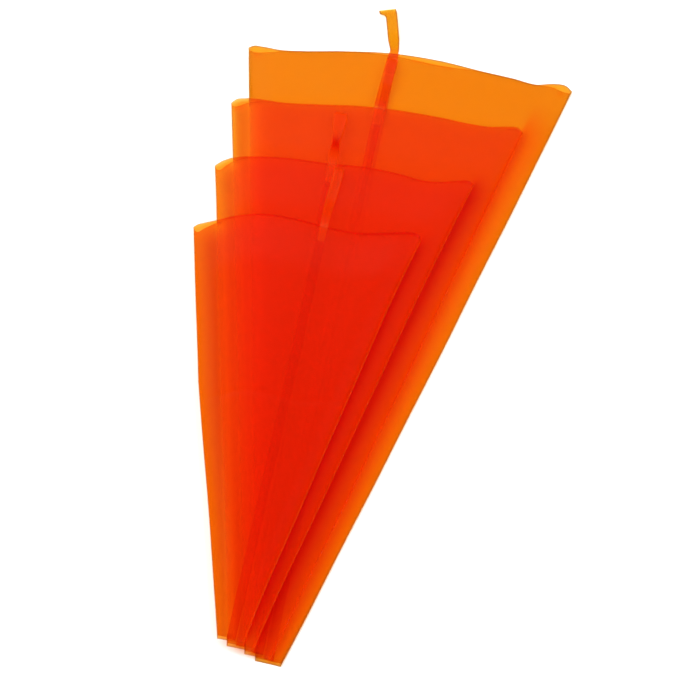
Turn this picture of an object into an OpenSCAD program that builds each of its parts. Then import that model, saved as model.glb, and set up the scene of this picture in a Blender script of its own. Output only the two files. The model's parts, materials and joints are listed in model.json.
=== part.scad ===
// Set of four graded reusable piping bags, stored flat in a fanned stack.
// Each bag is a cone of soft film, pressed flat, with an open tip and an open mouth.
// One welded seam runs from tip to mouth, and a ribbon loop hangs the bag by its mouth.
// The bags lie on the XY plane, the largest at the bottom. +Y runs from tip to mouth.
// The origin is on the underside of the largest bag, on its centre line, half-way up it.

/* [Bags] */
// Length of each bag on its centre line, from tip to mouth, largest first
bag_length = [450, 406, 356, 306]; // [220:1:600]
// Angle between the centre line and each side fold
half_angle = 13.5; // [11:0.1:17]
// Width of the flattened tip
tip_width = 20; // [14:0.5:40]
// Outside height of a bag as it lies flat
lay_height = 6.5; // [6.2:0.1:12]
// Thickness of the film
film = 0.4; // [0.2:0.05:0.5]
// Slope of each mouth's cut across the bag, rising to the right
mouth_slope = [5.6, 6.6, 8, 7.7]; // [0:0.1:12]
// How far the mouth's edge bulges past the straight line between its corners
mouth_bulge = 7.5; // [2:0.5:20]
// How far the back wall reaches past the front wall at the mouth
mouth_lip = 3; // [1:0.5:8]
// How far the back wall reaches past the front wall at the tip
tip_lip = 3; // [1:0.5:8]

/* [Seams] */
// Width of the welded seam band
seam_width = 6.5; // [4:0.5:12]
// Thickness of the seam band on the back wall's inner face
seam_film = 0.4; // [0.2:0.05:0.5]
// Turn of each seam from its bag's centre line, clockwise from above
seam_turn = [-1.45, 0.45, -1, 2.5]; // [-4:0.05:4]

/* [Loops] */
// Width of the loop's ribbon
ribbon_width = 8.5; // [6:0.5:14]
// Thickness of the ribbon
ribbon = 0.4; // [0.2:0.05:0.45]
// Length of each free loop, from its root to its far end
loop_length = [30, 33, 35, 38]; // [28:1:60]
// Outside height of a loop where its two legs stand furthest apart
loop_height = 5.6; // [5.2:0.1:8]
// Distance from the root over which the upper leg rises to that height
loop_rise = 16; // [8:1:20]
// Turn of each loop from its bag's centre line, clockwise from above
loop_turn = [-19.4, 3.4, -2.8, 3.6]; // [-25:0.1:25]
// Length of the ribbon's two ends welded to the seam, inside the mouth
tail_length = 16; // [8:1:30]
// How far the ribbon's root stands outside the mouth's edge
root_reach = 2.5; // [2:0.5:6]

/* [Stack] */
// Clearance between neighbours that are free to move apart
clearance = 0.3; // [0.2:0.05:1]
// Sideways place of each bag's tip from the largest bag's tip
fan_x = [0, -8.5, -22.1, -29.9]; // [-60:0.1:60]
// Lengthways place of each bag's tip from the largest bag's tip
fan_y = [0, 3, 6, 10.1]; // [0:0.1:60]
// Turn of each bag from the largest, anticlockwise from above
fan_turn = [0, 1, 1.3, 2.9]; // [0:0.1:10]

/* [Hidden] */
$fn = 96;
film_colour = [0.94, 0.42, 0.05];
seam_colour = [0.90, 0.27, 0.04];
ribbon_colour = [0.95, 0.55, 0.12];

// Height of one bag's berth in the stack, and the origin's distance from the tip
berth = lay_height + clearance;
origin_y = bag_length[0] / 2;
// A blank that is longer and wider than any bag, to be trimmed to shape
blank_length = 1.3 * max(bag_length) / cos(half_angle) + 80;
blank_width = max(bag_length) * tan(half_angle) + tip_width + 40;

// Half the straight line between the corners of bag i's mouth
function mouth_half(i) =
    (tip_width / 2 + (bag_length[i] - mouth_bulge) * tan(half_angle)) / cos(mouth_slope[i]);
// Radius and centre of the arc that the mouth is cut to
function mouth_radius(i) = (pow(mouth_half(i), 2) + pow(mouth_bulge, 2)) / (2 * mouth_bulge);
function mouth_centre(i) =
    let (back = mouth_radius(i) - mouth_bulge)
    [back * sin(mouth_slope[i]), bag_length[i] - mouth_bulge - back * cos(mouth_slope[i])];
// Distance from the tip, along the seam, at which it meets the mouth's edge
function seam_reach(i) =
    let (centre = mouth_centre(i))
    let (along = centre[0] * sin(seam_turn[i]) + centre[1] * cos(seam_turn[i]))
    along + sqrt(along * along - centre * centre + pow(mouth_radius(i), 2));
// The loop turns about a line across the ribbon, just outside the mouth
function root_distance(i) = seam_reach(i) + root_reach;
root_height = film + seam_film + ribbon;

// Moves a shape from bag i's own frame, with its tip at the origin, to its place in the stack
module in_stack(i) {
    translate([fan_x[i], fan_y[i] - origin_y, i * berth])
        rotate([0, 0, fan_turn[i]])
            children();
}

// Turns a shape from the seam's own frame, which runs along +Y from the tip
module along_seam(i) {
    rotate([0, 0, -seam_turn[i]])
        children();
}

// Plan of bag i between its mouth and its tip, both cut back by the given amounts
module plan(i, mouth_cut, tip_cut) {
    intersection() {
        translate(mouth_centre(i))
            circle(r = mouth_radius(i) - mouth_cut, $fn = 360);
        translate([-blank_width, tip_cut])
            square([2 * blank_width, blank_length]);
    }
}

// Cross-section of half a bag: two flat walls joined by one round fold at x = 0
module half_section() {
    fold = lay_height / 2;
    difference() {
        union() {
            translate([fold, fold])
                circle(r = fold);
            translate([fold, 0])
                square([blank_width, lay_height]);
        }
        union() {
            translate([fold, fold])
                circle(r = fold - film);
            translate([fold, film])
                square([blank_width + 1, lay_height - 2 * film]);
        }
    }
}

// Right half of a bag's wall, still longer than the bag, with its fold along the side edge
module half_wall() {
    intersection() {
        translate([tip_width / 2, 0, 0])
            rotate([0, 0, -half_angle])
                translate([0, -blank_length / 4, 0])
                    mirror([1, 0, 0])
                        rotate([-90, 0, 0])
                            mirror([0, 1, 0])
                                linear_extrude(height = blank_length)
                                    half_section();
        translate([0, -1, -1])
            cube([blank_width, blank_length, lay_height + 2]);
    }
}

// Film of bag i: one cone of film pressed flat, its front wall a little shorter than its back
module film_shell(i) {
    difference() {
        intersection() {
            union() {
                half_wall();
                mirror([1, 0, 0])
                    half_wall();
            }
            translate([0, 0, -1])
                linear_extrude(height = lay_height + 2)
                    plan(i, 0, 0);
        }
        translate([0, 0, lay_height / 2])
            linear_extrude(height = lay_height)
                difference() {
                    translate([-blank_width, -1])
                        square([2 * blank_width, blank_length]);
                    plan(i, mouth_lip, tip_lip);
                }
    }
}

// Band where the film's two long edges are welded together, on the back wall's inner face
module seam_strip(i) {
    translate([0, 0, film])
        intersection() {
            along_seam(i)
                translate([-seam_width / 2, -tip_width, 0])
                    cube([seam_width, blank_length, seam_film]);
            translate([0, 0, -1])
                linear_extrude(height = seam_film + 2)
                    plan(i, 0, 0);
        }
}

// Both ends of the ribbon, laid on the seam and cut off where the free loop starts to bend
module ribbon_ends(i) {
    tail_start = seam_reach(i) - tail_length;
    along_seam(i)
        difference() {
            translate([-ribbon_width / 2, tail_start, film + seam_film])
                cube([ribbon_width, tail_length + root_reach + ribbon_width, 2 * ribbon]);
            translate([0, root_distance(i), 0])
                rotate([0, 0, seam_turn[i] - loop_turn[i]])
                    translate([-2 * ribbon_width, -ribbon - clearance, -1])
                        cube([4 * ribbon_width, 4 * ribbon_width, lay_height + 2]);
        }
}

// Side view of a loop: two legs that part at the root and join in a round bend
module loop_profile(length) {
    bend = loop_height / 2;
    root = 4 * ribbon;
    slope = atan((loop_height - 2 * ribbon) / (loop_rise - root));
    inset = ribbon * tan(slope / 2);
    difference() {
        union() {
            circle(r = ribbon);
            polygon([
                [0, -ribbon], [length - bend, -ribbon],
                [length - bend, loop_height - ribbon], [loop_rise, loop_height - ribbon],
                [root, ribbon], [0, ribbon]
            ]);
            translate([length - bend, bend - ribbon])
                circle(r = bend);
        }
        polygon([
            [root + inset, 0], [length - bend, 0],
            [length - bend, loop_height - 2 * ribbon], [loop_rise + inset, loop_height - 2 * ribbon]
        ]);
        translate([length - bend, bend - ribbon])
            circle(r = bend - ribbon);
    }
}

// Free part of bag i's ribbon, open through its eye from side to side
module ribbon_loop(i) {
    along_seam(i)
        translate([0, root_distance(i), root_height])
            rotate([0, 0, seam_turn[i] - loop_turn[i]])
                rotate([90, 0, 90])
                    linear_extrude(height = ribbon_width, center = true)
                        loop_profile(loop_length[i]);
}

module bag_1_film() { color(film_colour) in_stack(0) film_shell(0); }
module bag_2_film() { color(film_colour) in_stack(1) film_shell(1); }
module bag_3_film() { color(film_colour) in_stack(2) film_shell(2); }
module bag_4_film() { color(film_colour) in_stack(3) film_shell(3); }

module bag_1_seam_band() { color(seam_colour) in_stack(0) seam_strip(0); }
module bag_2_seam_band() { color(seam_colour) in_stack(1) seam_strip(1); }
module bag_3_seam_band() { color(seam_colour) in_stack(2) seam_strip(2); }
module bag_4_seam_band() { color(seam_colour) in_stack(3) seam_strip(3); }

module bag_1_loop_tail() { color(ribbon_colour) in_stack(0) ribbon_ends(0); }
module bag_2_loop_tail() { color(ribbon_colour) in_stack(1) ribbon_ends(1); }
module bag_3_loop_tail() { color(ribbon_colour) in_stack(2) ribbon_ends(2); }
module bag_4_loop_tail() { color(ribbon_colour) in_stack(3) ribbon_ends(3); }

module bag_1_hanging_loop() { color(ribbon_colour) in_stack(0) ribbon_loop(0); }
module bag_2_hanging_loop() { color(ribbon_colour) in_stack(1) ribbon_loop(1); }
module bag_3_hanging_loop() { color(ribbon_colour) in_stack(2) ribbon_loop(2); }
module bag_4_hanging_loop() { color(ribbon_colour) in_stack(3) ribbon_loop(3); }

bag_1_film();
bag_1_seam_band();
bag_1_loop_tail();
bag_1_hanging_loop();
bag_2_film();
bag_2_seam_band();
bag_2_loop_tail();
bag_2_hanging_loop();
bag_3_film();
bag_3_seam_band();
bag_3_loop_tail();
bag_3_hanging_loop();
bag_4_film();
bag_4_seam_band();
bag_4_loop_tail();
bag_4_hanging_loop();
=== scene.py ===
import json
import math

import bpy
import numpy as np
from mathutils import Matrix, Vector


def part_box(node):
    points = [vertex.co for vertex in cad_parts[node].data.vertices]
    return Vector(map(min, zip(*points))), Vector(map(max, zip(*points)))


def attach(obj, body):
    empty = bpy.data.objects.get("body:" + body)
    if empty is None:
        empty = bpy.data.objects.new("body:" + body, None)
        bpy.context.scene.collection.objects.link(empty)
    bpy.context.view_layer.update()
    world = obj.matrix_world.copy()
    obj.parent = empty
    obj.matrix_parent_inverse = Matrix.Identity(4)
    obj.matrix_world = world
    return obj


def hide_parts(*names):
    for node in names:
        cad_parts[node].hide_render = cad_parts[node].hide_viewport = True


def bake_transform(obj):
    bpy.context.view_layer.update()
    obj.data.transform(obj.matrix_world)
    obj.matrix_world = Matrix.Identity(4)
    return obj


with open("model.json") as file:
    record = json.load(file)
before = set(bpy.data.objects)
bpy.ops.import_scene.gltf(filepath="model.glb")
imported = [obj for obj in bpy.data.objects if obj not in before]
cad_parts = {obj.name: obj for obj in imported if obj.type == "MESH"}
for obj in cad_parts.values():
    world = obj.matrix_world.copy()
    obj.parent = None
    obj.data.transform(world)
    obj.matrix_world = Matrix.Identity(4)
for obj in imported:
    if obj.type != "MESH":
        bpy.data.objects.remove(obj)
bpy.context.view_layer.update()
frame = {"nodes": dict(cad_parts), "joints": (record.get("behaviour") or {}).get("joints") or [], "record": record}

MM = 0.001


# ---------------------------------------------------------------------------
# Where the bags lie. Four cones of film, pressed flat and stacked in a fan with the largest
# at the bottom, each one where the record's mounts put its tip and its mouth.
# ---------------------------------------------------------------------------

MOUNTS = {mount["name"]: mount for mount in frame["record"]["mounts"]}


def berth_of(number):
    """Place of one bag: its tip and its level in metres, the unit directions to its mouth and its
    right, and its length and height in millimetres."""
    tip, mouth = (
        np.array(MOUNTS[f"bag_{number}_{end}"]["pos_m"]) for end in ("tip_seat", "mouth")
    )
    low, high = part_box(f"bag_{number}_film")
    up = (mouth - tip)[:2]
    length = np.linalg.norm(up)
    up = up / length
    return {
        "tip": tip[:2],
        "up": up,
        "right": np.array([up[1], -up[0]]),
        "length": length / MM,
        "level": low.z,
        "height": (high.z - low.z) / MM,
    }


BERTHS = {number: berth_of(number) for number in (1, 2, 3, 4)}


def in_berth(berth, x, y, z):
    """Points in the bag's own millimetres, x right, y from tip to mouth and z up, as metres in the
    frame."""
    x, y, z = np.broadcast_arrays(x, y, z)
    flat = berth["tip"] + MM * (x[..., None] * berth["right"] + y[..., None] * berth["up"])
    return np.concatenate([flat, (berth["level"] + MM * z)[..., None]], axis=-1)


def smooth_step(value, start, end):
    """0 before start, 1 after end, and an S-shaped rise between them."""
    share = np.clip((value - start) / (end - start), 0, 1)
    return share * share * (3 - 2 * share)


# ---------------------------------------------------------------------------
# Film. Each bag is one sheet of cast polyurethane film, 0.4 mm thick, rolled into a cone and
# welded, then pressed flat: a flat back wall, a front wall that curves down to a tight fold
# at each side, a trimmed tip, and a mouth whose cut edge waves where the film is loose.
# ---------------------------------------------------------------------------

# Thickness, half a tip's width, how fast the half width grows, and the height of a side fold
FILM = 0.4
TIP_HALF = 10.0
FLARE = math.tan(math.radians(13.5))
FOLD_LEVEL = 2.2
# How far in from a fold the front wall and the back wall lie flat
SHOULDER, HEEL = 18.0, 6.0
# Share of the length where the set was once folded across
CREASE_AT = 0.585
# How much shorter the front wall is at the tip, and the room left above a bag's highest point
FRONT_SHORTER, ROOM_ABOVE = 2.6, 0.35

# Across a mouth, from left corner to right corner, as shares of half its width
STOPS = [-1, -0.97, -0.9, -0.8, -0.65, -0.4, -0.1, 0.2, 0.45, 0.65, 0.78, 0.88, 0.95, 1]
# Height of each back wall's cut edge above the bag's tip, at those stops
RIMS = {
    1: [430, 432, 433, 433.5, 436.5, 443, 449.5, 452, 451.5, 451.5, 451, 454.5, 455, 452],
    2: [386.5, 389.5, 392, 393.5, 394.5, 398.5, 404, 407, 408, 408, 409, 411.5, 412.5, 409.5],
    3: [336.5, 339, 343, 346.5, 349.5, 353, 355, 358, 358, 357, 359, 362, 363.5, 361.5],
    4: [288, 290, 292.5, 295.5, 300.5, 306, 307, 305, 305, 308, 310.5, 312, 311.5, 308],
}
# How far the back wall's edge shows past the front wall's, at those stops
LIPS = {
    1: [2, 4.5, 4, 1.2, 0.4, 0.4, 2, 3.6, 0.6, 0.4, 0.4, 3, 5, 2],
    2: [2, 5, 4, 1.5, 1, 1, 1.2, 1.2, 1, 1, 1, 1.5, 2, 1],
    3: [2, 5, 4, 1.5, 1, 1, 1.2, 1.2, 1, 1, 1, 1.5, 2, 1],
    4: [2, 5, 4, 2, 1, 1, 1.2, 1.2, 1.5, 2, 2, 2, 2, 1],
}
# How far each side fold stands out from the straight cone, left then right: a steady bow, and
# a kink at the crease
BOWS = {1: (0, 0.8), 2: (0, 0), 3: (-1.2, -1.4), 4: (-0.6, -1.8)}
KINKS = {1: (0, 0.6), 2: (0, 0.6), 3: (0.6, 0), 4: (3.6, 0)}
# How much wider each bag lies at its mouth than the straight cone, left then right, and how
# much longer its back wall is at the tip
SPLAYS = {1: (1.9, 2.1), 2: (-0.3, 0), 3: (-1.1, 0), 4: (0, 0)}
FEET = {1: 2.2, 2: 1.5, 3: 1.1, 4: 0.7}
# How dark each film goes in the shade beside the bag on top of it, and how far that reaches
SHADES = {1: (0.52, 13.0), 2: (1.4, 5.0), 3: (1.5, 2.6), 4: (0, 1)}
# How dark each film is painted where it overhangs the bag below at the left, as painted shade of the worktop's
# shadow beneath it, and how grey that painted shade makes it
OVERHANG_PAINTED_SHADES = {1: 0.0, 2: 0.22, 3: 0.47, 4: 0.82}
OVERHANG_PAINTED_GREY = 0.22
# How dark the painted shade makes the single wall of each lip beside the doubled film
LIP_SHADES = {1: 0.3, 2: 0.65, 3: 0.9, 4: 1.1}


def along_stops(values, share):
    """Heights at any share of the half width: a cubic through the stops, with each stop's slope
    taken from its neighbours."""
    stops, values = np.array(STOPS, float), np.array(values, float)
    slopes = np.gradient(values, stops)
    share = np.clip(share, -1, 1)
    k = np.clip(np.searchsorted(stops, share) - 1, 0, len(stops) - 2)
    gap = stops[k + 1] - stops[k]
    t = (share - stops[k]) / gap
    return (
        (2 * t**3 - 3 * t**2 + 1) * values[k]
        + (t**3 - 2 * t**2 + t) * gap * slopes[k]
        + (3 * t**2 - 2 * t**3) * values[k + 1]
        + (t**3 - t**2) * gap * slopes[k + 1]
    )


def fold_lines(number, y):
    """Distance of a bag's left and right folds from its centre line at a height above its tip, in
    millimetres: the straight cone, a bow that is widest half way, a kink, and a splay that grows
    towards the mouth."""
    half = TIP_HALF + FLARE * y
    rows = y / BERTHS[number]["length"]
    tent = np.clip(np.minimum(rows / CREASE_AT, (1 - rows) / (1 - CREASE_AT)), 0, 1)
    hoop = 1 - np.clip(2 * rows - 1, -1, 1) ** 6
    rows = np.clip(rows, 0, 1.05)
    return [
        half + bow * hoop + kink * tent + splay * rows
        for bow, kink, splay in zip(BOWS[number], KINKS[number], SPLAYS[number])
    ]


def gaps_to(number, points):
    """How far points in the frame lie outside a bag's left fold, outside its right fold, and inside
    its two cut edges, in millimetres."""
    berth = BERTHS[number]
    offset = (points[..., :2] - berth["tip"]) / MM
    x, y = offset @ berth["right"], offset @ berth["up"]
    left, right = fold_lines(number, y)
    share = x / np.maximum(np.where(x < 0, left, right), 1)
    return -x - left, x - right, np.minimum(along_stops(RIMS[number], share) - y, y + FEET[number])


def cover_over(number, points):
    """How many of the bags above a numbered one cover points in the frame, fading in at each
    outline."""
    count = np.zeros(points.shape[:-1])
    for above in range(number + 1, 5):
        gap_left, gap_right, within = gaps_to(above, points)
        count = count + smooth_step(np.minimum(within, -np.maximum(gap_left, gap_right)), -1, 4)
    return count


def film_section():
    """Columns round a pressed-flat bag, anticlockwise seen from the tip. Gives each one's place
    across the flat part from -1 to 1, its share of a shoulder's width, its share of the rise from
    the fold, and 1 on the front wall or 0 on the back. Each quarter between a fold and the flat is
    part of an ellipse, closer together towards the fold, and the flat is closer together at the
    right, where the painted shade of the next bag lies."""
    turn = np.linspace(0, 1, 15)[1:] ** 1.3 * math.pi / 2
    flat = np.concatenate([np.linspace(-1, 0.1, 32)[1:-1], np.linspace(0.1, 1, 88)[:-1]])
    ones, zeros = np.ones_like(turn), np.zeros_like(flat)
    front_place = np.concatenate([[1], ones, -flat, -ones])
    place = np.concatenate([front_place, -front_place])
    reach = np.tile(np.concatenate([[1], np.cos(turn), zeros, np.cos(turn)[::-1]]), 2)
    rise = np.tile(np.concatenate([[0], np.sin(turn), zeros + 1, np.sin(turn)[::-1]]), 2)
    front = np.repeat([1.0, 0.0], len(front_place))
    return place, reach, rise, front


def film_rows(length):
    """Shares of the way from tip to mouth, closer together at both cut edges and at the crease."""
    ends = np.array([0, 0.25, 0.55, 1, 1.8, 3.2]) / length
    crease = CREASE_AT + np.linspace(-6, 6, 17) / length
    return np.unique(np.concatenate([ends, 1 - ends, crease, np.linspace(0.012, 0.988, 92)]))


def film_surface(number):
    """Outer face of a bag as points in its own millimetres, one row for each share of the length
    and one column for each place round the section, with four numbers for each point: edge near a
    cut or a fold, with the painted grey of an overhang's shade; painted shade beside the bag above,
    under an overhang and on a lip; faint where a left fold lies under the next bag's hazy film; and
    low over the worktop."""
    berth = BERTHS[number]
    length = berth["length"]
    place, reach, rise, front = film_section()

    def across(y):
        """Distance across the bag of every column, with the two folds and the width of the
        shoulders."""
        left, right = fold_lines(number, y)
        half = TIP_HALF + FLARE * np.maximum(y, 0)
        shoulder = np.where(front > 0, np.minimum(SHOULDER, 0.75 * half), np.minimum(HEEL, 0.5 * half))
        curved = np.where(place < 0, -left, right) - np.sign(place) * shoulder * (1 - reach)
        level = 0.5 * ((right - shoulder) * (1 + place) - (left - shoulder) * (1 - place))
        return np.where(reach > 0, curved, level), left, right, shoulder

    # Both cut edges, and the rows between them
    x, left, right, _ = across(np.array([length]))
    share = x / np.where(x < 0, left, right)
    lip = along_stops(LIPS[number], share)
    rim = along_stops(RIMS[number], share)
    top = rim - lip * front * smooth_step(rise, 0, 0.35)
    foot = FRONT_SHORTER * front * smooth_step(rise, 0, 0.5) - FEET[number]
    rows = film_rows(length)[:, None]
    y = foot + (top - foot) * rows
    x, left, right, shoulder = across(y)
    # The walls wander sideways by up to a quarter of a millimetre
    x = x + 0.25 * np.sin(y / 23 + number) * np.sin(y / 61)

    # Height: the front wall droops to both cut edges, dips at the crease and waves a little
    tip_droop = 1.6 * smooth_step(-y, -55, 5)
    mouth_droop = 2.2 * smooth_step(y, top - 34, top)
    crease = 0.15 * np.exp(-(((rows - CREASE_AT) * length / 2.0) ** 2))
    wave = 0.18 * np.sin(x / 17 + y / 53 + number) * np.sin(y / 37 - x / 41 + 2 * number)
    crown = berth["height"] - ROOM_ABOVE - tip_droop - mouth_droop - crease + wave
    z = np.where(front > 0, FOLD_LEVEL + (crown - FOLD_LEVEL) * rise, FOLD_LEVEL * (1 - rise))

    # Cut edges and folds show for under a millimetre, and further at the tip
    to_cut = np.minimum((y - foot) / 0.9, (top - y) / 0.6)
    cut = np.exp(-to_cut) * np.where(rise * front > 0.2, 0.25, 1)
    fold = np.where(reach > 0, np.exp(-shoulder * (1 - reach) / (0.5 + 0.4 * np.exp(-y / 40))), 0)

    # Shade of the bag above and of the overhang
    dark_dye_and_painted_shade, faint, painted_overhang_grey, low = np.zeros_like(x), np.zeros_like(x), np.zeros_like(x), np.ones_like(x)
    spots = in_berth(berth, x, y, z)
    if number < 4:
        gap_left, gap_right, within = gaps_to(number + 1, spots)
        strength, range_mm = SHADES[number]
        # Painted shade on this film beside the right fold of the bag above
        shade = np.where(gap_right > 0, np.exp(-gap_right / range_mm), np.exp(gap_right))
        dark_dye_and_painted_shade = strength * shade * smooth_step(within, -2 * range_mm, 12)
        faint = np.exp(-(x + left) / 5.0) * smooth_step(within, 0, 5)
        fold = fold * (1 - np.where(place < 0, faint, 0))
    if number > 1:
        gap_left, gap_right, within = gaps_to(number - 1, spots)
        low = smooth_step(gap_left, -6, 3)
        # Painted shade where the film overhangs the worktop, with a painted grey added to the edge field
        dark_dye_and_painted_shade = dark_dye_and_painted_shade + OVERHANG_PAINTED_SHADES[number] * low
        painted_overhang_grey = OVERHANG_PAINTED_GREY * OVERHANG_PAINTED_SHADES[number] * low
        inside = smooth_step(np.minimum(within, -np.maximum(gap_left, gap_right)), -0.5, 1)
        cut, fold = cut * (1 - 0.8 * inside), fold * (1 - 0.3 * inside)

    # Shade of the lip, from the front wall's edge out to the rim
    past = (y - (rim - lip)) / np.maximum(lip, 0.5)
    lip_shade = LIP_SHADES[number] * (1.4 - 0.9 * np.clip(past, 0, 1))
    dark_dye_and_painted_shade = np.maximum(dark_dye_and_painted_shade, (1 - front) * smooth_step(past, -0.3, 0.05) * lip_shade)
    edge = np.maximum(np.maximum(cut, fold), painted_overhang_grey)
    fields = {"edge": edge, "dark_dye_and_painted_shade": np.clip(dark_dye_and_painted_shade, 0, 1), "faint": faint, "low": low}
    return np.stack([x, y, z], axis=-1), fields


def wall_normals(points):
    """Outward unit normals of a surface that closes on itself along its columns: the cross product
    of the step to the next row and the step to the next column."""
    around = np.roll(points, -1, axis=1) - np.roll(points, 1, axis=1)
    along = np.gradient(points, axis=0)
    normals = np.cross(along, around)
    return normals / np.linalg.norm(normals, axis=-1, keepdims=True)


def shell_mesh(name, berth, outer, thickness, fields):
    """Closed wall between an outer surface and the same surface moved inwards by its thickness,
    joined by a flat strip at both ends. fields are numbers for each outer point, and both faces
    carry them."""
    inner = outer - thickness * wall_normals(outer)
    rows, columns = outer.shape[:2]
    points = np.concatenate([outer.reshape(-1, 3), inner.reshape(-1, 3)])
    points = in_berth(berth, points[:, 0], points[:, 1], points[:, 2])
    at = np.arange(rows * columns).reshape(rows, columns)
    beside = np.roll(at, -1, axis=1)
    whole = rows * columns
    skin = np.stack([at[:-1], at[1:], beside[1:], beside[:-1]], axis=-1).reshape(-1, 4)
    lining = skin[:, ::-1] + whole
    foot = np.stack([at[0], beside[0], beside[0] + whole, at[0] + whole], axis=-1)
    head = np.stack([at[-1] + whole, beside[-1] + whole, beside[-1], at[-1]], axis=-1)
    faces = np.concatenate([skin, lining, foot, head])
    mesh = bpy.data.meshes.new(name)
    mesh.from_pydata(points.tolist(), [], faces.tolist())
    cut = np.zeros(len(faces), bool)
    cut[len(skin) + len(lining):] = True
    mesh.polygons.foreach_set("use_smooth", ~cut)
    for field, values in fields.items():
        layer = mesh.attributes.new(field, "FLOAT", "POINT")
        values = np.broadcast_to(values, (rows, columns)).ravel()
        layer.data.foreach_set("value", np.concatenate([values, values]).astype(np.float32))
    mesh.update()
    piece = bpy.data.objects.new(name, mesh)
    bpy.context.scene.collection.objects.link(piece)
    return piece


def linear_colour(code):
    """sRGB hex code as linear red, green, blue and an opaque alpha."""
    parts = [int(code[k : k + 2], 16) / 255 for k in (1, 3, 5)]
    return tuple(p / 12.92 if p <= 0.04045 else ((p + 0.055) / 1.055) ** 2.4 for p in parts) + (1.0,)


def add_node(tree, kind, links=None, **settings):
    """Adds a node. settings set its own properties and, by in_ and a socket's name or number, its
    inputs, and links join outputs to its inputs."""
    node = tree.nodes.new(kind)
    for key, value in settings.items():
        if key.startswith("in_"):
            name = key[3:]
            node.inputs[int(name) if name.isdigit() else name.replace("_", " ")].default_value = value
        else:
            setattr(node, key, value)
    for key, source in (links or {}).items():
        tree.links.new(source, node.inputs[key])
    return node


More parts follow.
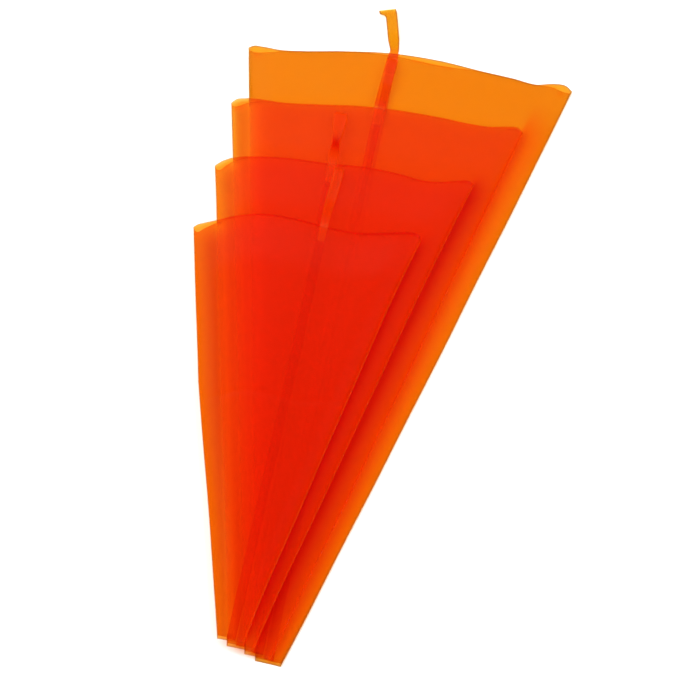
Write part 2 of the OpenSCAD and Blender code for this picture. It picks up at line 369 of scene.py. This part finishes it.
def film_material(
    name,
    tint,
    worktop_painted_shade_tint,
    body,
    haze=0.03,
    edge_haze=0.4,
    roughness=0.24,
    ribs=0.0,
    shaded="#FAC858",
    brown="#E0C8A8",
):
    """Cast thermoplastic polyurethane film: clear through and through, dyed orange, with a faint
    inner haze. Light that crosses it turns deeper orange at each face, a little is scattered by the
    haze, and its calendered faces give a soft broad shine. Folds and cut edges hold more film along the
    light's path: over the worktop they read brown, and over more film they catch the light. Painted
    shade turns the dye towards the shaded colour, and an overhang's painted shade also greys it;
    over the worktop the dye is painted a darker red as shade. ribs is how much a weld bar's
    embossing shows, one rib in 2.4 mm."""
    material = bpy.data.materials.new(name)
    material.use_nodes = True
    tree = material.node_tree
    tree.nodes.clear()
    place = add_node(tree, "ShaderNodeTexCoord").outputs["Object"]
    edge, dark_dye_and_painted_shade, faint, low, along = (
        add_node(tree, "ShaderNodeAttribute", attribute_name=field).outputs["Fac"]
        for field in ("edge", "dark_dye_and_painted_shade", "faint", "low", "along")
    )
    # Brown at folds and cut edges over the worktop, and the painted grey of an overhang's shade
    brown_edge_and_painted_shade = add_node(tree, "ShaderNodeMath", {0: edge, 1: low}, operation="MULTIPLY").outputs[0]
    lit = add_node(tree, "ShaderNodeMath", {0: edge, 1: brown_edge_and_painted_shade}, operation="SUBTRACT").outputs[0]
    # The haze varies by 7 percent, in clouds about 38 mm across
    links = {"Vector": place}
    cloud = add_node(tree, "ShaderNodeTexNoise", links, in_Scale=26.0, in_Detail=2.0).outputs["Fac"]
    amount = add_node(
        tree,
        "ShaderNodeMapRange",
        {"Value": cloud},
        in_From_Min=0.3,
        in_From_Max=0.7,
        in_To_Min=haze * 0.93,
        in_To_Max=haze * 1.07,
    ).outputs["Result"]
    for share, end in ((lit, edge_haze), (dark_dye_and_painted_shade, 0.2 * haze)):
        links = {"Factor": share, 2: amount}
        amount = add_node(tree, "ShaderNodeMix", links, data_type="FLOAT", in_3=end).outputs[0]
    rib = add_node(tree, "ShaderNodeMath", {0: along}, operation="PINGPONG", in_1=1.2).outputs[0]
    # The shaded colour comes in with the weld bar's ribs, the darker dye of welds and pinches, and the painted
    # shade
    links = {0: rib, 2: dark_dye_and_painted_shade}
    ribs_and_painted_shade = add_node(tree, "ShaderNodeMath", links, operation="MULTIPLY_ADD", in_1=0.15 * ribs).outputs[0]
    # Over the worktop the film takes a darker red tint, painted as shade
    dye = add_node(
        tree,
        "ShaderNodeMix",
        {"Factor": low},
        data_type="RGBA",
        in_6=linear_colour(tint),
        in_7=linear_colour(worktop_painted_shade_tint),
    ).outputs[2]
    for share, colour in ((ribs_and_painted_shade, shaded), (brown_edge_and_painted_shade, brown), (faint, "#FFFFFF")):
        links = {"Factor": share, 6: dye}
        dye = add_node(tree, "ShaderNodeMix", links, data_type="RGBA", in_7=linear_colour(colour)).outputs[2]
    clear = add_node(tree, "ShaderNodeBsdfTransparent", {"Color": dye})
    front = add_node(tree, "ShaderNodeBsdfDiffuse", in_Color=linear_colour(body), in_Roughness=0.4)
    behind = add_node(tree, "ShaderNodeBsdfTranslucent", in_Color=linear_colour(body))
    milk = add_node(tree, "ShaderNodeMixShader", {1: front.outputs[0], 2: behind.outputs[0]}, in_Fac=0.5)
    sheet = add_node(tree, "ShaderNodeMixShader", {0: amount, 1: clear.outputs[0], 2: milk.outputs[0]})
    # The rollers leave a grain too fine to show, so it is drawn 0.7 mm across
    links = {"Vector": place}
    grain = add_node(tree, "ShaderNodeTexNoise", links, in_Scale=1400.0, in_Detail=1.0).outputs["Fac"]
    links = {"Height": grain}
    bump = add_node(tree, "ShaderNodeBump", links, in_Strength=0.12, in_Distance=0.0004).outputs[0]
    links = {"Height": rib, "Normal": bump}
    bump = add_node(tree, "ShaderNodeBump", links, in_Strength=ribs, in_Distance=0.0002).outputs[0]
    shine = add_node(tree, "ShaderNodeBsdfGlossy", {"Normal": bump}, in_Roughness=roughness)
    facing = add_node(tree, "ShaderNodeLayerWeight", in_Blend=0.5).outputs["Facing"]
    glancing = add_node(tree, "ShaderNodeMath", {0: facing}, operation="POWER", in_1=5.0).outputs[0]
    links = {"Value": glancing}
    gloss = add_node(tree, "ShaderNodeMapRange", links, in_To_Min=0.001, in_To_Max=0.2).outputs["Result"]
    skin = add_node(tree, "ShaderNodeMixShader", {0: gloss, 1: sheet.outputs[0], 2: shine.outputs[0]})
    add_node(tree, "ShaderNodeOutputMaterial", {"Surface": skin.outputs[0]})
    return material


# Its second tint is the darker red painted as shade where the film lies over the worktop
FILM_MATERIAL = film_material("Cast polyurethane film, dyed orange", "#FEEAA4", "#F8E8AE", "#FF6A10")

for number, berth in BERTHS.items():
    outer, fields = film_surface(number)
    film = shell_mesh(f"bag_{number}_flattened_film", berth, outer, FILM, fields)
    film.data.materials.append(FILM_MATERIAL)
    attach(film, f"bag_{number}")
    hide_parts(f"bag_{number}_film")


# ---------------------------------------------------------------------------
# Seam bands. The sheet's two long edges overlap by 6.5 mm from tip to mouth and are welded
# flat under a ribbed bar, on the inner face of the back wall. The overlap is twice as deep.
# ---------------------------------------------------------------------------

HINGES = {joint["name"]: joint for joint in frame["joints"]}


def root_of(number):
    """A ribbon's root in its bag's millimetres, and the plan angles of the seam and of the free
    loop, clockwise from the bag's centre line."""
    berth, hinge = BERTHS[number], HINGES[f"bag_{number}_loop_bend"]
    offset = (np.array(hinge["pos_m"])[:2] - berth["tip"]) / MM
    x, y = offset @ berth["right"], offset @ berth["up"]
    axis = np.array(hinge["axis"])[:2]
    towards = np.array([-axis[1], axis[0]])
    return x, y, math.atan2(x, y), math.atan2(towards @ berth["right"], towards @ berth["up"])


FACE_POINTS = 15


def strip_mesh(name, number, middle, across, outwards, widths, thickness, cup, fields):
    """Closed flat strip. Each row of middle, across and outwards is a point of its centre line, the
    direction of its width and the direction out of its face; widths is how far it reaches to each
    side, thickness its depth, and cup how far its two edges lift. fields are numbers for each point
    of a row."""
    berth = BERTHS[number]
    u = np.linspace(-1, 1, FACE_POINTS)
    u, side = np.concatenate([u, u[::-1]]), np.repeat([1.0, -1.0], FACE_POINTS)
    reach = np.where(u < 0, widths[:, :1], widths[:, 1:]) * u
    lift = side * thickness / 2 * (1 - 0.5 * u**20) + cup[:, None] * u**2
    points = middle[:, None] + reach[..., None] * across[:, None] + lift[..., None] * outwards[:, None]
    rows, columns = points.shape[:2]
    at = np.arange(rows * columns).reshape(rows, columns)
    beside = np.roll(at, -1, axis=1)
    wall = np.stack([at[:-1], beside[:-1], beside[1:], at[1:]], axis=-1).reshape(-1, 4)
    k = np.arange(FACE_POINTS - 1)
    ring = [columns - 1 - k, columns - 2 - k, k + 1, k]
    near = np.stack([at[0, corner] for corner in ring], axis=-1)
    far = np.stack([at[-1, corner] for corner in reversed(ring)], axis=-1)
    faces = np.concatenate([wall, near, far])
    points = points.reshape(-1, 3)
    points = in_berth(berth, points[:, 0], points[:, 1], points[:, 2])
    mesh = bpy.data.meshes.new(name)
    mesh.from_pydata(points.tolist(), [], faces.tolist())
    smooth = np.ones(len(faces), bool)
    smooth[len(wall):] = False
    mesh.polygons.foreach_set("use_smooth", smooth)
    to_side = np.where(u < 0, widths[:, :1], widths[:, 1:]) * (1 - np.abs(u))
    cover = cover_over(number, points).reshape(rows, columns)
    faint = np.maximum(fields["faint"], 1 - 0.45**cover)
    edge = np.maximum(fields["edge"], np.exp(-to_side / 0.35)) * (1 - faint) ** 2
    for field, values in dict(fields, edge=edge, faint=faint).items():
        layer = mesh.attributes.new(field, "FLOAT", "POINT")
        layer.data.foreach_set("value", np.broadcast_to(values, (rows, columns)).ravel().astype(np.float32))
    mesh.update()
    piece = bpy.data.objects.new(name, mesh)
    bpy.context.scene.collection.objects.link(piece)
    return piece


# Half the band's width, its depth, and the room between it and the back wall
SEAM_HALF, SEAM_DEPTH, SEAM_ROOM = 3.4, 0.36, 0.03
# How dark each overlap's dye has gone in the weld's heat
SEAM_DARK = {1: 0.0, 2: 0.1, 3: 0.2, 4: 0.45}
WELD = film_material(
    "Welded polyurethane overlap, ribbed by the weld bar",
    "#FEEAA4",
    "#F8E8AE",
    "#FF6A10",
    edge_haze=0.1,
    roughness=0.3,
    ribs=1.0,
)

for number in BERTHS:
    x, y, turn, _ = root_of(number)
    share = x / fold_lines(number, y)[0 if x < 0 else 1]
    end = along_stops(RIMS[number], share) / math.cos(turn) - 0.6
    run = np.linspace(0.5, end, 220)
    level = np.full_like(run, FILM + SEAM_ROOM + SEAM_DEPTH / 2)
    middle = np.stack([run * math.sin(turn), run * math.cos(turn), level], axis=-1)
    across = np.broadcast_to([math.cos(turn), -math.sin(turn), 0.0], middle.shape)
    outwards = np.broadcast_to([0.0, 0.0, 1.0], middle.shape)
    half = SEAM_HALF + 0.12 * np.sin(run / 9 + number)
    widths = np.stack([half, half], axis=-1)
    to_end = np.minimum(run - run[0], run[-1] - run)[:, None]
    fields = {
        "edge": 0.3 * np.exp(-to_end / 0.4),
        "dark_dye_and_painted_shade": SEAM_DARK[number],
        "faint": 0.0,
        "along": run[:, None],
    }
    name = f"bag_{number}_welded_seam"
    seam = strip_mesh(name, number, middle, across, outwards, widths, SEAM_DEPTH, 0 * run, fields)
    seam.data.materials.append(WELD)
    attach(seam, f"bag_{number}")
    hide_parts(f"bag_{number}_seam_band")


# ---------------------------------------------------------------------------
# Ribbons. Each is one strip of the same film, folded double at its far end. Both ends are
# welded to the seam just inside the mouth, and the free loop lies out past the rim, its two
# legs parted round an open eye.
# ---------------------------------------------------------------------------

# Length of each ribbon inside the mouth, its thickness, and how far its far bend reaches
TAIL, RIBBON, BEND = 16.0, 0.4, 2.45
# Levels of the two legs in the mouth, and of each leg where they have parted
LOWER_IN, UPPER_IN = 1.01, 1.43
LOWER_OUT, UPPER_OUT = 1.26, 5.95
# Distance from the root, then how far the strip reaches to its left and to its right there
REACHES = {
    1: [
        (-16, 4.2, 4.2),
        (-6, 4.1, 4.1),
        (-1, 3.1, 3.2),
        (2, 3.1, 3.5),
        (8, 3.9, 4.2),
        (25, 4.1, 4.1),
        (26.4, 5.2, 4.1),
        (27.4, 8.2, 4.0),
        (30, 8.8, 3.6),
    ],
    2: [(-16, 4.2, 4.2), (0, 4.1, 4.1), (33, 4.2, 4.2)],
    3: [
        (-16, 3.2, 3.2),
        (0, 3.3, 3.3),
        (6, 3.6, 3.6),
        (13, 2.6, 2.2),
        (18, 3.4, 3.0),
        (27, 4.6, 4.6),
        (35, 4.7, 4.7),
    ],
    4: [(-16, 2.8, 2.8), (0, 3.0, 3.0), (18, 3.6, 3.6), (38, 3.4, 3.4)],
}
# Sideways drift of each free loop at its far end
DRIFTS = {1: 0.6, 2: 0.0, 3: 0.4, 4: 1.2}
# Where a loop is pinched, how far that reaches, and how dark it gets
PINCHES = {1: (0, 2.5, 0.1), 2: (0, 2.5, 0.2), 3: (12.5, 4.5, 1.0), 4: (0, 2.0, 0.1)}


def ribbon_path(number, length):
    """Centre line of a folded ribbon, from the end of its lower leg round the far bend to the end
    of its upper leg, as points, width directions, face directions and distances from the root. In
    plan it turns smoothly from the seam to the loop at the root. From the side the legs lie
    together in the mouth, part past it, and join in a round bend."""
    x, y, seam_turn, loop_turn = root_of(number)
    out = np.concatenate([np.linspace(-TAIL, 5, 40), np.linspace(5, length - BEND, 40)[1:]])
    round_turn = np.linspace(-math.pi / 2, math.pi / 2, 20)[1:-1]
    reach = np.concatenate([out, length - BEND + BEND * np.cos(round_turn), out[::-1]])
    upper = UPPER_IN + (UPPER_OUT - UPPER_IN) * smooth_step(out, 1.2, 15)
    lower = LOWER_IN + (LOWER_OUT - LOWER_IN) * smooth_step(out, 4, 14)
    centre, radius = (upper[-1] + lower[-1]) / 2, (upper[-1] - lower[-1]) / 2
    z = np.concatenate([lower, centre + radius * np.sin(round_turn), upper[::-1]])
    fine = np.linspace(-TAIL, length, 400)
    angle = seam_turn + (loop_turn - seam_turn) * smooth_step(fine, -1.5, 3)
    step = fine[1] - fine[0]
    plan = np.stack([np.sin(angle), np.cos(angle)], axis=-1)
    walk = np.cumsum(plan, axis=0) * step
    origin = [np.interp(0, fine, walk[:, k]) for k in (0, 1)]
    drift = DRIFTS[number] * smooth_step(reach, 2, length)
    heading = np.interp(reach, fine, angle)
    across = np.stack([np.cos(heading), -np.sin(heading), 0 * heading], axis=-1)
    plan_x, plan_y = (np.interp(reach, fine, walk[:, k]) - origin[k] for k in (0, 1))
    middle = np.stack([x + plan_x, y + plan_y, z], axis=-1)
    middle = middle + drift[:, None] * across
    ahead = np.gradient(middle, axis=0)
    ahead = ahead / np.linalg.norm(ahead, axis=-1, keepdims=True)
    across = across - (across * ahead).sum(-1, keepdims=True) * ahead
    across = across / np.linalg.norm(across, axis=-1, keepdims=True)
    return middle, across, np.cross(across, ahead), reach


# Its second tint is the darker red painted as shade where loop 1 lies out on the worktop
RIBBON_MATERIAL = film_material(
    "Cast polyurethane ribbon, cut from the same film",
    "#FEEDB8",
    "#F8EEB8",
    "#FF7C22",
    haze=0.06,
    edge_haze=0.12,
    roughness=0.28,
)

for number in BERTHS:
    hinge = HINGES[f"bag_{number}_loop_bend"]
    root, axis = np.array(hinge["pos_m"]), np.array(hinge["axis"])
    towards = np.array([-axis[1], axis[0], 0.0])
    corners = np.array([v.co for v in frame["nodes"][f"bag_{number}_hanging_loop"].data.vertices])
    length = ((corners - root) @ towards).max() / MM
    middle, across, outwards, reach = ribbon_path(number, length)
    table = np.array(REACHES[number], float)
    widths = np.stack([np.interp(reach, table[:, 0], table[:, k]) for k in (1, 2)], axis=-1)
    at, spread, strength = PINCHES[number]
    to_end = np.minimum(np.arange(len(reach)), np.arange(len(reach))[::-1])[:, None] * 0.5
    # low marks loop 1 out on the worktop, where its tint is painted darker as shade
    fields = {
        "edge": np.exp(-to_end / 0.4),
        "dark_dye_and_painted_shade": strength * np.exp(-(((reach - at) / spread) ** 2))[:, None],
        "low": (smooth_step(reach, -2, 1) * (number == 1))[:, None],
        "faint": 0.92 * smooth_step(-reach, 1.5, 4)[:, None],
    }
    cup = 0.25 * smooth_step(reach, 3, 14) * (1 - smooth_step(reach, length - 8, length - 2))
    name = f"bag_{number}_ribbon_loop"
    ribbon = strip_mesh(name, number, middle, across, outwards, widths, RIBBON, -cup, fields)
    ribbon.data.materials.append(RIBBON_MATERIAL)
    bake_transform(ribbon)
    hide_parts(f"bag_{number}_loop_tail", f"bag_{number}_hanging_loop")


# ---------------------------------------------------------------------------
# Stage: a matt white worktop with a pale wall all round, wide soft lamps at the left, the right
# and the top of the view, and a camera straight above that is turned with the set.
# ---------------------------------------------------------------------------

world = bpy.data.worlds.new("Dark studio with a pale wall all round")
world.use_nodes = True
bpy.context.scene.world = world
tree = world.node_tree
tree.nodes.clear()
direction = add_node(tree, "ShaderNodeTexCoord").outputs["Generated"]
height = add_node(tree, "ShaderNodeSeparateXYZ", {0: direction}).outputs["Z"]
wall = add_node(
    tree,
    "ShaderNodeMapRange",
    {"Value": height},
    in_From_Min=0.25,
    in_From_Max=0.75,
    in_To_Min=0.3,
    in_To_Max=0.0,
).outputs["Result"]
background = add_node(
    tree, "ShaderNodeBackground", {"Strength": wall}, in_Color=linear_colour("#FFFFFF")
)
add_node(tree, "ShaderNodeOutputWorld", {"Surface": background.outputs[0]})

HALF_SIDE, SINK = 4.0, 0.0002
floor_mesh = bpy.data.meshes.new("worktop")
corners = [(x * HALF_SIDE, y * HALF_SIDE, -SINK) for x, y in ((-1, -1), (1, -1), (1, 1), (-1, 1))]
floor_mesh.from_pydata(corners, [], [(0, 1, 2, 3)])
worktop = bpy.data.objects.new("worktop", floor_mesh)
bpy.context.scene.collection.objects.link(worktop)
paint = bpy.data.materials.new("Matt white laminate")
paint.use_nodes = True
tree = paint.node_tree
tree.nodes.clear()
chalk = add_node(tree, "ShaderNodeBsdfDiffuse", in_Color=linear_colour("#F4F4F4"))
add_node(tree, "ShaderNodeOutputMaterial", {"Surface": chalk.outputs[0]})
floor_mesh.materials.append(paint)

# How far the view is turned against the set
LEAN = math.radians(13.1)


def soft_lamp(name, bearing, power, elevation=66, distance=2.4, size=1.5):
    """A square lamp aimed at the set. bearing is anticlockwise from the top of the view, in
    degrees."""
    lamp = bpy.data.lights.new(name, "AREA")
    lamp.size, lamp.energy = size, power
    turn, rise = math.radians(bearing) + LEAN, math.radians(elevation)
    towards = np.array([-math.sin(turn) * math.cos(rise), math.cos(turn) * math.cos(rise), math.sin(rise)])
    holder = bpy.data.objects.new(name, lamp)
    holder.location = towards * distance
    holder.rotation_euler = (math.pi / 2 - rise, 0, turn + math.pi)
    holder.visible_camera = False
    bpy.context.scene.collection.objects.link(holder)


soft_lamp("key lamp", 60, 58)
soft_lamp("fill lamp", -80, 28)
soft_lamp("back lamp", 0, 19)

lens = bpy.data.cameras.new("camera")
camera = bpy.data.objects.new("camera", lens)
bpy.context.scene.collection.objects.link(camera)
lens.sensor_width = 36.0
lens.lens = 219.0
# Straight above the middle of the set, 3 m up
camera.location = (-0.00225, 0.0134, 3.0)
camera.rotation_euler = (0, 0, LEAN)
bpy.context.scene.camera = camera

scene = bpy.context.scene
scene.view_settings.view_transform = "Standard"
scene.cycles.transparent_max_bounces = 96
scene.cycles.max_bounces = 16
scene.cycles.diffuse_bounces = 8
scene.cycles.transmission_bounces = 8
